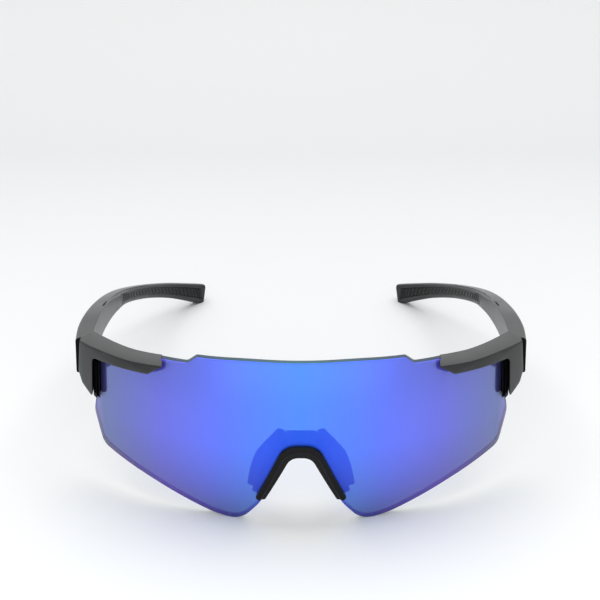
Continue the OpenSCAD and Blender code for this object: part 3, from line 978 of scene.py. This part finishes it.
# %% Ribbed grips
RIB_COUNT = 26
RINGS_PER_RIB = 8
RIB_HEIGHT = 0.42
RIM_PROUD = 0.15
RIM_CLEARANCE = 0.06
RIM_END_GAP = 0.012
FIELD_END_GAP = 0.09
FIELD_MARGIN = 0.55
FIELD_SUNK = 0.12
FIELD_DEPTH = 0.5
FIELD_ROUND = 0.15


def grip_rim():
    rings = []
    for i, s in enumerate(spread(GRIP_START + RIM_END_GAP, GRIP_END - RIM_END_GAP, GRIP_RINGS)):
        rings.append(grip_ring(s, RIM_PROUD if 0 < i < GRIP_RINGS else 0, margin=RIM_CLEARANCE))
    return in_hinge_frame(sweep(rings))


def grip_ribs():
    rings = []
    places = spread(GRIP_START + FIELD_END_GAP, GRIP_END - FIELD_END_GAP, RIB_COUNT * RINGS_PER_RIB)
    for i, s in enumerate(places):
        wave = (1 - cos(2 * pi * i / RINGS_PER_RIB)) / 2
        proud = RIM_PROUD - FIELD_SUNK + RIB_HEIGHT * wave
        rings.append(grip_ring(s, proud, FIELD_DEPTH, FIELD_MARGIN, FIELD_ROUND))
    return in_hinge_frame(sweep(rings))


def make_grip(side, flip):
    bm = grip_rim()
    rim_faces = len(bm.faces)
    join(bm, grip_ribs())
    for i, face in enumerate(bm.faces):
        face.material_index = 0 if i < rim_faces else 1
    if flip:
        flip_side(bm)
    return finished(bm, "ribbed_grip_" + side, "temple_" + side, [GLOSS_BLACK, GRIP_RUBBER],
                    "temple_grip_" + side, angle=40)


for side, flip in SIDES:
    make_grip(side, flip)

# %% [markdown]
# ## Nose bridge
# The bridge is a gloss-black U that hooks over the lens's arch. Its front lip
# has two levels: a rounded gloss bead along the outside and a satin face
# inside it. The bead's inner shoulder takes the lighter satin charcoal: a
# painted highlight, which draws a thin line of light round the U.

# %% Nose bridge
BRIDGE_OUTER_HALF = [(12.9, 8.7, 0.8), (13.9, 9.9, 0.8), (5.3, 28.3, 6)]
ARCH_FOOT = Vector((10.9, 9.2, 0.5))
ARCH_CROWN = Vector((3.1, 24.4, 3.9))
FOOT_SHIFT = Vector((1, 0.3, -0.5))
CROWN_SHIFT = Vector((0.8, 1, 1))
BRIDGE_WALL = 0.9
WALL_FOOT = (11.6, 9.4, 0.2)
WALL_INNER_FOOT = (10.9, 9.2, 0.2)
WALL_RADII = (84, 88.4)
BRIDGE_BEVEL = 0.2
LIP_RADII = (88.05, 88.6)
BEAD_FOOT = (12.2, 9.2, 0.2)
BEAD_CROWN = (4.35, 26.3, 5.4)
BEAD_RADII = (88.1, 89.3)
BEAD_BEVEL = 0.45
ARCH_MIDDLE = Vector((0, 0, 14)) * MM
SHOULDER_INWARD = 0.25
SHOULDER_FRONT = -0.2


def u_shape(foot, crown):
    """Closed U between the outer half line and an inner line with these corners."""
    outer = BRIDGE_OUTER_HALF
    return rounded([foot] + outer + mirrored([crown, foot] + outer) + [crown], 8)


def u_outline(offset):
    return u_shape(tuple(ARCH_FOOT + offset * FOOT_SHIFT), tuple(ARCH_CROWN + offset * CROWN_SHIFT))


def bridge_wall_outline():
    outer = [WALL_FOOT, tuple(ARCH_CROWN + BRIDGE_WALL * CROWN_SHIFT)]
    inner = [tuple(ARCH_CROWN), WALL_INNER_FOOT]
    return rounded(outer + mirrored(inner + outer) + inner, 8)


def takes_painted_highlight(face):
    """Whether a face of the flat bead slopes in towards the arch."""
    towards_arch = ARCH_MIDDLE - face.calc_center_median()
    towards_arch.y = 0
    inward = face.normal.dot(towards_arch.normalized())
    return inward > SHOULDER_INWARD and face.normal.y < SHOULDER_FRONT


def make_bridge():
    bm = soften(flat_plate(u_outline(0), *LIP_RADII), BRIDGE_BEVEL, segments=2)
    join(bm, soften(flat_plate(bridge_wall_outline(), *WALL_RADII), BRIDGE_BEVEL, segments=2))
    for face in bm.faces:
        face.material_index = 1
    bead = soften(flat_plate(u_shape(BEAD_FOOT, BEAD_CROWN), *BEAD_RADII), BEAD_BEVEL, segments=4)
    for face in bead.faces:
        # Shoulder faces take the lighter satin charcoal, a painted highlight line; the rest of the bead is
        # gloss black.
        face.material_index = 2 if takes_painted_highlight(face) else 0
    join(bm, bead)
    wrap(slice_grid(bm))
    return finished(bm, "bridge_moulding", "front",
                    [GLOSS_BLACK, BRIDGE_SATIN, SATIN_CHARCOAL], "nose_bridge")


make_bridge()

# %% [markdown]
# ## Nose carrier and pads
# Behind the lens, a carrier clips to the bridge and holds two soft pads by a
# wing inside each. They are seen through the lens, where they turn deep blue.
# A pad is a slab whose edges are rounded over nearly all of its thickness.

# %% Nose carrier and pads
PAD_TOP = Vector((5.0, 2.6 - ORIGIN_BACK, 28.0))
PAD_LEAN = radians(26)
PAD_FLARE = radians(12)
PAD_FRAME = (SCALE_MM @ Matrix.Translation(PAD_TOP) @ Matrix.Rotation(-PAD_LEAN, 4, "Y")
             @ Matrix.Rotation(-PAD_FLARE, 4, "Z"))
PAD_OUTLINE = [
    (1.2, -0.4, 1.0), (6.8, -1.0, 1.6), (10.3, 6.6, 12), (12.7, 12.8, 3.5), (11.6, 17.4, 8),
    (6.9, 21.9, 0.7), (2.3, 18.9, 0.4), (1.9, 20.3, 0.6), (0.9, 20.0, 0.4),
]
WING_OUTLINE = [
    (-0.4, 4, 0.3), (5.5, 3.5, 1.5), (8.5, 8, 2.5), (9.5, 13, 2), (6.0, 17, 1.5), (-0.4, 16.5, 0.3),
]
WING_HALF_THICKNESS = 0.45
PAD_HALF_THICKNESS = 1.1
PAD_BEVEL = 0.85
CLIP_RADII = (84, 85.9)
CLIP_GAP = 0.05
CLIP_BEVEL = 0.3
SHELF_LOW = Vector((-4.75, 2 - ORIGIN_BACK, 26.7))
SHELF_SIZE = Vector((9.5, 8.4, 1.5))
SHELF_BEVEL = 0.7


def pad_slab(corners, half):
    return prism([(-half, p.x, -p.y) for p in rounded(corners, 8)], (2 * half, 0, 0))


def in_pad_frame(bm):
    bmesh.ops.transform(bm, matrix=PAD_FRAME, verts=bm.verts)
    return bm


def box_between(low, size, bevel):
    bm = bmesh.new()
    bmesh.ops.create_cube(bm, size=1)
    bmesh.ops.scale(bm, verts=bm.verts, vec=size * MM)
    bmesh.ops.translate(bm, verts=bm.verts, vec=(low + size / 2) * MM)
    return soften(bm, bevel)


def make_carrier():
    shell = soften(flat_plate(u_outline(BRIDGE_WALL + CLIP_GAP), *CLIP_RADII), CLIP_BEVEL, segments=2)
    wrap(slice_grid(shell))
    join(shell, box_between(SHELF_LOW, SHELF_SIZE, SHELF_BEVEL))
    for flip in (False, True):
        wing = in_pad_frame(pad_slab(WING_OUTLINE, WING_HALF_THICKNESS))
        join(shell, flip_side(wing) if flip else wing)
    return finished(shell, "carrier", "front", [CARRIER_PLASTIC], "nose_carrier")


def make_pad(side, flip):
    bm = in_pad_frame(soften(pad_slab(PAD_OUTLINE, PAD_HALF_THICKNESS), PAD_BEVEL / MM, segments=5))
    if flip:
        flip_side(bm)
    return finished(bm, "soft_pad_" + side, "front", [PAD_SILICONE], "nose_pad_" + side)


make_carrier()
for side, flip in SIDES:
    make_pad(side, flip)

# %% [markdown]
# ## Screws and inserts
# The hinge screws, their brass inserts and the retainer screws are tiny, and
# their turned shapes are already right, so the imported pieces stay. They get
# turned metal: a fine noise varies the gloss of plain steel and brass.

# %% Screws and inserts
SCRATCH_SCALE = 3000
GLOSS_RANGE = 0.08


def turned_metal(name, colour, roughness):
    material, nodes, links, shader = new_material(name)
    where = nodes.new("ShaderNodeTexCoord")
    scratches = nodes.new("ShaderNodeTexNoise")
    scratches.inputs["Scale"].default_value = SCRATCH_SCALE
    links.new(where.outputs["Object"], scratches.inputs["Vector"])
    gloss = nodes.new("ShaderNodeMapRange")
    gloss.inputs["To Min"].default_value = roughness - GLOSS_RANGE
    gloss.inputs["To Max"].default_value = roughness + GLOSS_RANGE
    links.new(scratches.outputs["Fac"], gloss.inputs["Value"])
    links.new(gloss.outputs["Result"], shader.inputs["Roughness"])
    shader.inputs["Base Color"].default_value = (*colour, 1)
    shader.inputs["Metallic"].default_value = 1
    return material


STEEL = turned_metal("steel", (0.62, 0.62, 0.64), 0.28)
BRASS = turned_metal("brass", (0.72, 0.52, 0.22), 0.32)
for side, _ in SIDES:
    for part, metal in (("retainer_screw_", STEEL), ("hinge_screw_", STEEL), ("hinge_insert_", BRASS)):
        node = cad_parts[part + side]
        node.data.materials.clear()
        node.data.materials.append(metal)
print("metal parts painted")
